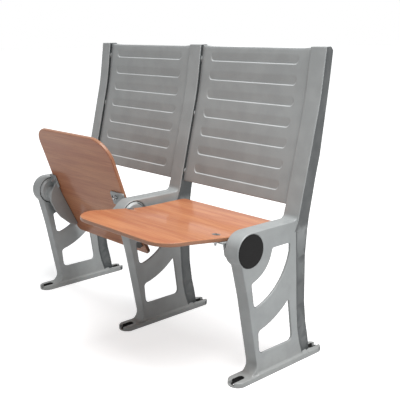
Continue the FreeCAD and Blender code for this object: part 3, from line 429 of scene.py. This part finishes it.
def backrest(side, bay):
    """Pressed backrest of one bay: a grooved sheet with its edges folded back."""
    path = rounded(PANEL_PATH, PANEL_STEP)
    lengths = np.concatenate(([0], np.cumsum(np.linalg.norm(np.diff(path, axis=0), axis=1))))
    tall = lengths[-1]
    heights = [PANEL_LOW + PANEL_BEND + 2]
    for number in range(GROOVE_COUNT):
        low = GROOVE_LOW + number * GROOVE_STEP
        heights += [low + step for step in GROOVE_ROWS]
    heights = [z for z in heights if z < PANEL_TOP - PANEL_BEND - 1]
    end = GROOVE_LENGTH / 2
    right = [0, 40, 80, 120, 160, 180] + list(np.arange(end - 12, end + 1.5, 1.2)) + [end + 6, end + 16, end + 28]
    across = sorted(set([-x for x in right] + right))
    first, last = fold_stops(PANEL_WIDTH)
    columns = [(place - PANEL_WIDTH / 2, out, back) for place, out, back in first]
    columns += [(x, 0, 0) for x in across]
    columns += [(place - PANEL_WIDTH / 2, out, back) for place, out, back in last]
    first, last = fold_stops(tall)
    rows = first + [(float(np.interp(z, path[:, 1], lengths)), 0, 0) for z in heights] + last
    vertices = []
    edges = []
    for place, up_out, up_back in rows:
        for x, side_out, side_back in columns:
            out = math.hypot(side_out, up_out)
            shrink = PANEL_BEND / out if out > PANEL_BEND else 1.0
            along = x - side_out + side_out * shrink
            level = place - up_out + up_out * shrink
            y = float(np.interp(level, lengths, path[:, 0]))
            z = float(np.interp(level, lengths, path[:, 1]))
            if up_back > PANEL_BEND or side_back > PANEL_BEND:
                back = max(up_back, side_back)
            elif out < PANEL_BEND:
                back = PANEL_BEND - math.sqrt(PANEL_BEND ** 2 - out ** 2)
            else:
                back = PANEL_BEND
            pressing, edge = groove(x, z)
            back += pressing
            edges.append(edge)
            inwards = float(ease((PANEL_WIDTH / 2 - abs(along)) / END_RUN))
            z -= EDGE_DIP * inwards * float(ease((level - tall + EDGE_DIP_TALL) / EDGE_DIP_TALL))
            vertices.append(((bay + along) * MM, (y + back - HUB_BACK) * MM, z * MM))
    wide = len(columns)
    faces = []
    for j in range(len(rows) - 1):
        for i in range(wide - 1):
            folded_up = max(rows[j][2], rows[j + 1][2]) > PANEL_BEND
            folded_side = max(columns[i][2], columns[i + 1][2]) > PANEL_BEND
            if not (folded_up and folded_side):
                faces.append((j * wide + i, j * wide + i + 1, (j + 1) * wide + i + 1, (j + 1) * wide + i))
    made = new_object("pressed_backrest_" + side, vertices, faces)
    # Painted highlight along the groove flanks, kept as a point attribute for the coat.
    bright = made.data.attributes.new("painted_groove_highlight", "FLOAT", "POINT")
    bright.data.foreach_set("value", edges)
    work = bmesh.new()
    work.from_mesh(made.data)
    bmesh.ops.remove_doubles(work, verts=work.verts, dist=0.01 * MM)
    work.to_mesh(made.data)
    work.free()
    wall = made.modifiers.new("wall", "SOLIDIFY")
    wall.thickness = PANEL_SHEET * MM
    wall.offset = -1
    baked(made)
    smooth(made)
    dress(made, sheet_paint, "pressed_aluminium", "frame", "backrest_" + side)


backrest("left", -PITCH / 2)
backrest("right", PITCH / 2)

# Plywood seats, drawn lowered about the hub axis

BOARD_WIDTH = 468.0
BOARD_FRONT = -264.0
BOARD_REAR = 208.0
BOARD_THICK = 13.0
BOARD_EDGE = 3.5
BOARD_FRONT_ROUND = 80.0
BOARD_REAR_ROUND = 18.0
BOARD_FLAT = 30.0
BOARD_LIFT = 26.0
LIP_RISE = 1.5
RAMP_FRONT = -190.0
RAMP_REAR = 15.0
RAMP_ROUND = 400.0
BOARD_PROFILE = [(BOARD_FRONT, BOARD_FLAT + BOARD_LIFT + LIP_RISE, 0),
                 (RAMP_FRONT, BOARD_FLAT + BOARD_LIFT, RAMP_ROUND),
                 (RAMP_REAR, BOARD_FLAT, RAMP_ROUND), (BOARD_REAR, BOARD_FLAT, 0)]
TIP_ANGLE = math.radians(64)
CORNER_STEPS = 12
EDGE_STEPS = 5
CUT_STEP = 8
BEND_STEP = 5


def board_ring(inset):
    """Plan outline of the board, drawn in by an inset."""
    half = BOARD_WIDTH / 2 - inset
    front = BOARD_FRONT + inset
    rear = BOARD_REAR - inset
    big = BOARD_FRONT_ROUND - inset
    small = BOARD_REAR_ROUND - inset
    corners = ((-half, front, big, 180), (half, front, big, 270), (half, rear, small, 0), (-half, rear, small, 90))
    points = []
    for x, y, radius, start in corners:
        centre_x = x - math.copysign(radius, x)
        centre_y = y + radius if y < 0 else y - radius
        for step in range(CORNER_STEPS + 1):
            angle = math.radians(start + 90 * step / CORNER_STEPS)
            points.append((centre_x + radius * math.cos(angle), centre_y + radius * math.sin(angle)))
    return points


def board(side, bay, turned):
    """Plywood board of one bay with rounded edges, bent to its profile, lowered or tipped up."""
    levels = []
    for a in np.linspace(0, math.pi / 2, EDGE_STEPS):
        levels.append((BOARD_EDGE * (1 - math.sin(a)), BOARD_EDGE * (1 - math.cos(a)) - BOARD_THICK))
    for a in np.linspace(math.pi / 2, 0, EDGE_STEPS):
        levels.append((BOARD_EDGE * (1 - math.sin(a)), -BOARD_EDGE * (1 - math.cos(a))))
    vertices = []
    for inset, drop in levels:
        vertices += [(x * MM, y * MM, drop * MM) for x, y in board_ring(inset)]
    count = len(board_ring(0))
    faces = [tuple(range(count))[::-1], tuple(range(len(vertices) - count, len(vertices)))]
    for j in range(len(levels) - 1):
        for i in range(count):
            k = (i + 1) % count
            faces.append((j * count + i, j * count + k, (j + 1) * count + k, (j + 1) * count + i))
    made = new_object("plywood_seat_" + side, vertices, faces)
    work = bmesh.new()
    work.from_mesh(made.data)
    for y in np.arange(BOARD_FRONT + CUT_STEP, BOARD_REAR - CUT_STEP / 2, CUT_STEP):
        everything = list(work.verts) + list(work.edges) + list(work.faces)
        bmesh.ops.bisect_plane(work, geom=everything, dist=1e-6, plane_co=(0, y * MM, 0), plane_no=(0, 1, 0))
    layer = work.verts.layers.float.new("ply_depth")
    profile = rounded(BOARD_PROFILE, BEND_STEP)
    for vertex in work.verts:
        vertex[layer] = -vertex.co.z / (BOARD_THICK * MM)
        vertex.co.z += float(np.interp(vertex.co.y / MM, profile[:, 0], profile[:, 1])) * MM
    work.to_mesh(made.data)
    work.free()
    smooth(made)
    turn = Matrix.Rotation(-TIP_ANGLE if turned else 0.0, 4, "X")
    made.matrix_world = Matrix.Translation((bay * MM, -HUB_BACK * MM, HUB_HEIGHT * MM)) @ turn
    shade = made.modifiers.new("shade", "WEIGHTED_NORMAL")
    shade.keep_sharp = True
    dress(made, wood, "varnished_plywood", "seat_" + side, "%s_seat_board" % side)


board("left", -PITCH / 2, True)
board("right", PITCH / 2, False)

# Small pieces: the CAD solids with eased edges

SMALL = {
    "hub_cap_left": (nylon, 0.8), "hub_cap_right": (nylon, 0.8), "hub_seals": (rubber, 0.0),
    "floor_slot_liners": (rubber, 0.3), "stop_sleeves": (rubber, 0.0), "stop_pins": (zinc, 0.2),
    "shaft_washers": (zinc, 0.2), "shaft_nuts": (zinc, 0.3), "pivot_shaft_left": (zinc, 0.3),
    "pivot_shaft_middle": (zinc, 0.3), "pivot_shaft_right": (zinc, 0.3), "pivot_sleeve_middle": (zinc, 0.3),
    "backrest_screws": (zinc, 0.2), "left_seat_pivot_bushes": (acetal, 0.0),
    "right_seat_pivot_bushes": (acetal, 0.0), "left_seat_bolts": (zinc, 0.3), "right_seat_bolts": (zinc, 0.3),
    "left_seat_nuts": (zinc, 0.3), "right_seat_nuts": (zinc, 0.3),
}
for name, (material, ease_by) in SMALL.items():
    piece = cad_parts[name]
    piece.data.materials.clear()
    piece.data.materials.append(material)
    if ease_by:
        easing = piece.modifiers.new("eased edges", "BEVEL")
        easing.width = ease_by * MM
        easing.segments = 2
        easing.limit_method = "ANGLE"
        easing.angle_limit = math.radians(40)

# Floor, light and background

FLOOR_SIZE = 60
FLOOR_DROP = 0.0004
KEY_PLACE = (1.4, -0.15, 3.4)
KEY_TARGET = (0, 0, 0.4)
KEY_SIZE = 2.4
KEY_POWER = 172
AMBIENT = 0.26


def studio_floor():
    """Pale floor that keeps the shadow near the seats and runs out to white."""
    bpy.ops.mesh.primitive_plane_add(size=FLOOR_SIZE, location=(0, 0, -FLOOR_DROP))
    made = bpy.context.object
    made.name = "floor"
    paint, tree, shader = new_material("matt pale studio floor")
    place = add(tree, "ShaderNodeTexCoord").outputs["Object"]
    away = add(tree, "ShaderNodeVectorMath", {0: place}, operation="LENGTH").outputs["Value"]
    path = add(tree, "ShaderNodeLightPath")
    seen = math_node(tree, "MAXIMUM", path.outputs["Is Camera Ray"], path.outputs["Is Glossy Ray"])
    seen = math_node(tree, "MAXIMUM", seen, path.outputs["Is Transmission Ray"])
    glow = math_node(tree, "MULTIPLY", seen, spread(tree, away, 0.9, 2.2, 0.66, 1.0))
    set_inputs(tree, shader, {"Base Color": linear("D2D2D2"), "Roughness": 0.9, "Specular IOR Level": 0.1,
                              "Emission Color": linear("FFFFFF"), "Emission Strength": glow})
    made.data.materials.append(paint)


studio_floor()


def area_light(name, place, target, size, power):
    lamp = bpy.data.lights.new(name, "AREA")
    lamp.shape = "SQUARE"
    lamp.size = size
    lamp.energy = power
    made = bpy.data.objects.new(name, lamp)
    made.location = place
    made.rotation_euler = (Vector(target) - Vector(place)).to_track_quat("-Z", "Y").to_euler()
    scene.collection.objects.link(made)


area_light("key_light", KEY_PLACE, KEY_TARGET, KEY_SIZE, KEY_POWER)


def background():
    world = bpy.data.worlds.new("studio")
    world.use_nodes = True
    scene.world = world
    tree = world.node_tree
    tree.nodes.clear()
    path = add(tree, "ShaderNodeLightPath")
    seen = math_node(tree, "MAXIMUM", path.outputs["Is Camera Ray"], path.outputs["Is Glossy Ray"])
    seen = math_node(tree, "MAXIMUM", seen, path.outputs["Is Transmission Ray"])
    ambient = add(tree, "ShaderNodeBackground", {"Color": linear("F2F5F8"), "Strength": AMBIENT})
    plain = add(tree, "ShaderNodeBackground", {"Color": linear("FFFFFF"), "Strength": 1.0})
    both = add(tree, "ShaderNodeMixShader", {0: seen, 1: ambient.outputs[0], 2: plain.outputs[0]})
    add(tree, "ShaderNodeOutputWorld", {"Surface": both.outputs[0]})


background()
